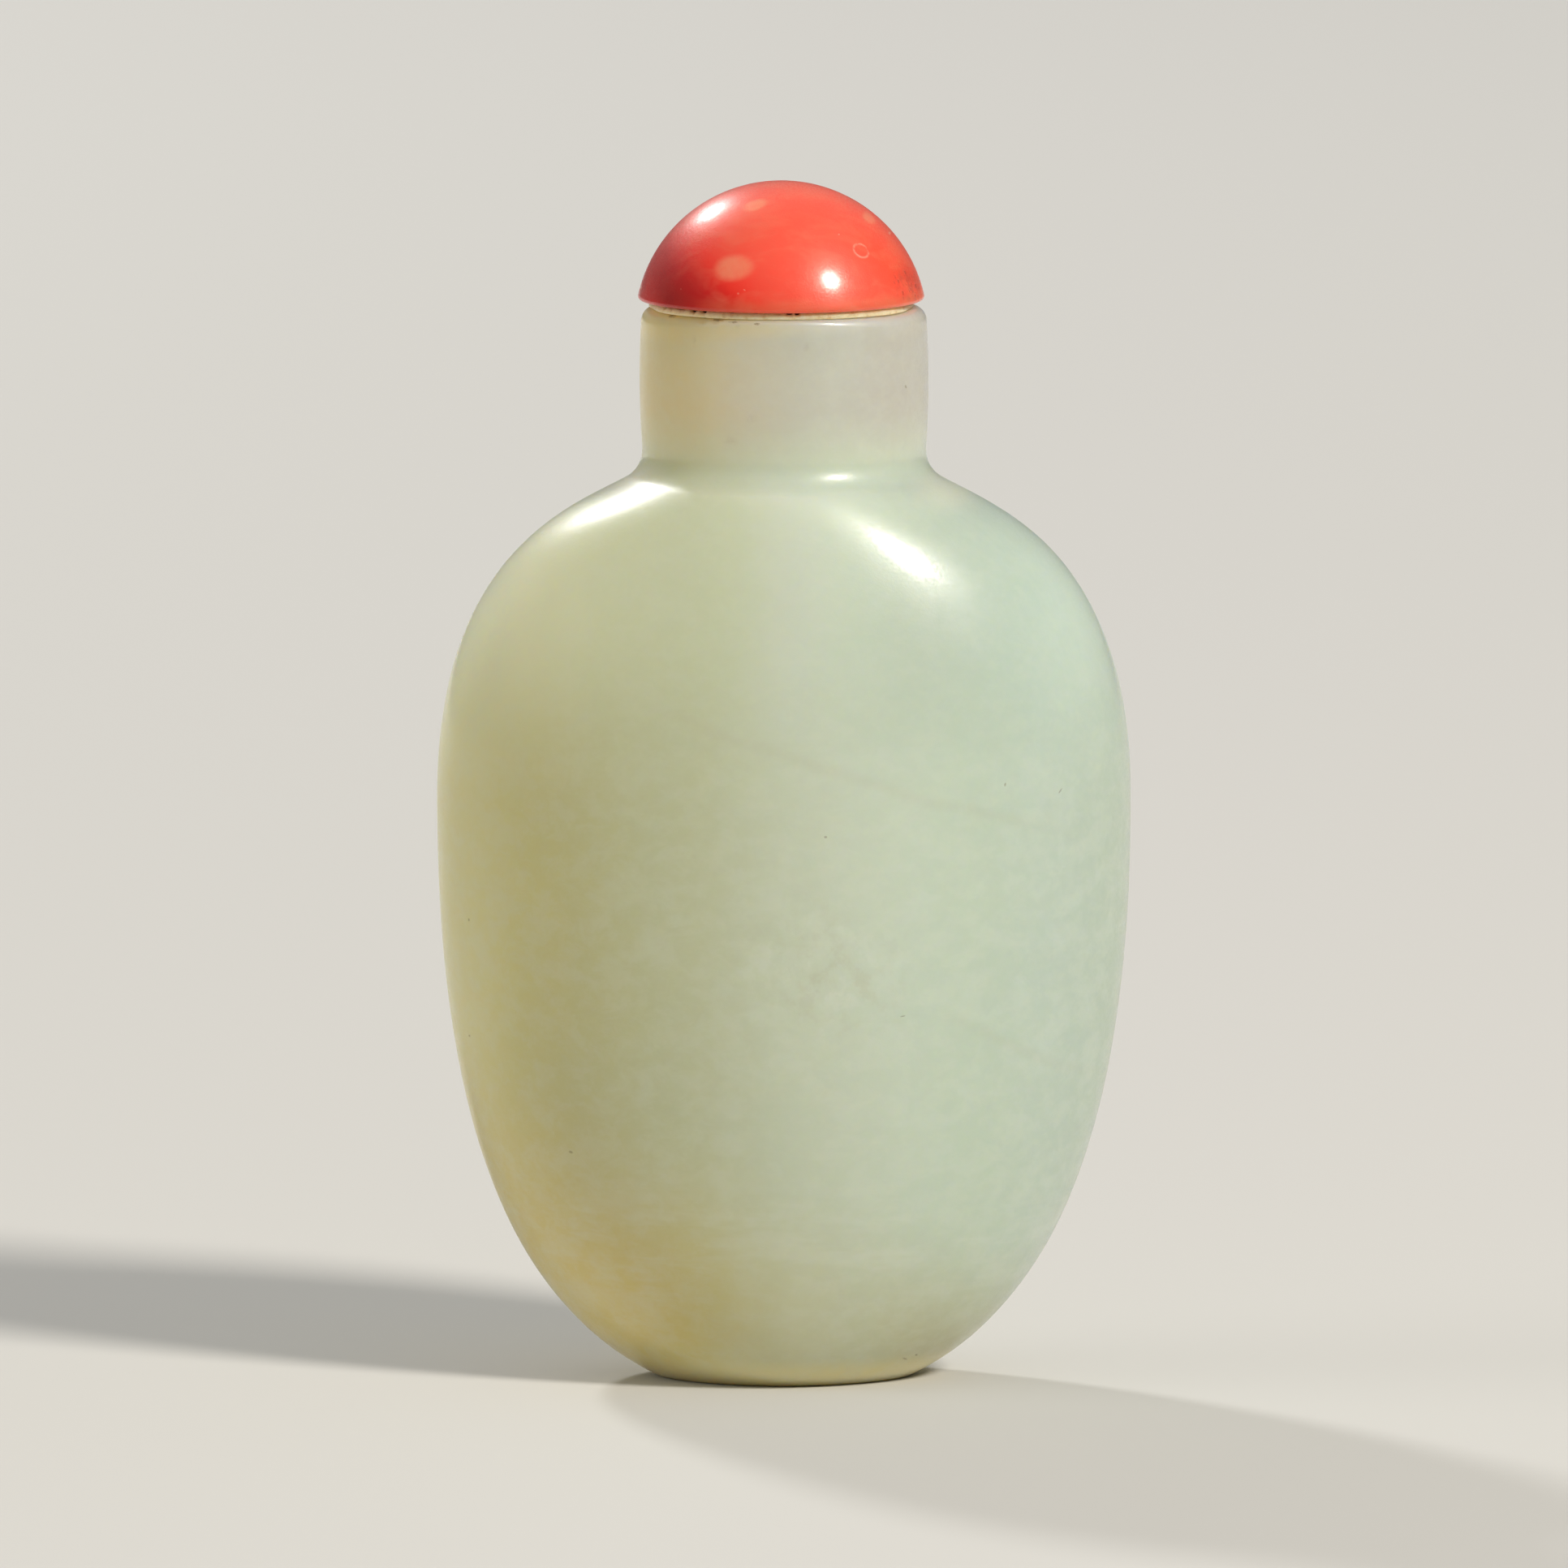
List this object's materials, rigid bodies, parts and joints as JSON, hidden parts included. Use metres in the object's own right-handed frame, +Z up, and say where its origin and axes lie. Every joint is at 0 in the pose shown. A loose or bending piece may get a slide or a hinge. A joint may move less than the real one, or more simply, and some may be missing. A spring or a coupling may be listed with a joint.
{
  "type": "snuff bottle",
  "caption": "Hollow flattened egg-shaped stone bottle with a short wide neck and small flat foot, closed by a domed stopper on a cork plug.",
  "frame": {"origin": "centre of the flat underside of the foot", "axes": "+Z up through the neck and stopper, X across the broad faces, Y through the thickness with -Y the front face"},
  "size_m": [0.039, 0.025, 0.0673],
  "materials": {
    "jade": "pale celadon nephrite, greasy hand polish with fine pits",
    "coral": "salmon-red coral, glossy polish, small pores at the edge",
    "cork": "pale old cork and wax, dry, dark where the edge has crumbled"
  },
  "bodies": {
    "root": {"bottle": "jade", "stopper_cap": "coral", "stopper_cork": "cork"}
  },
  "joints": []
}
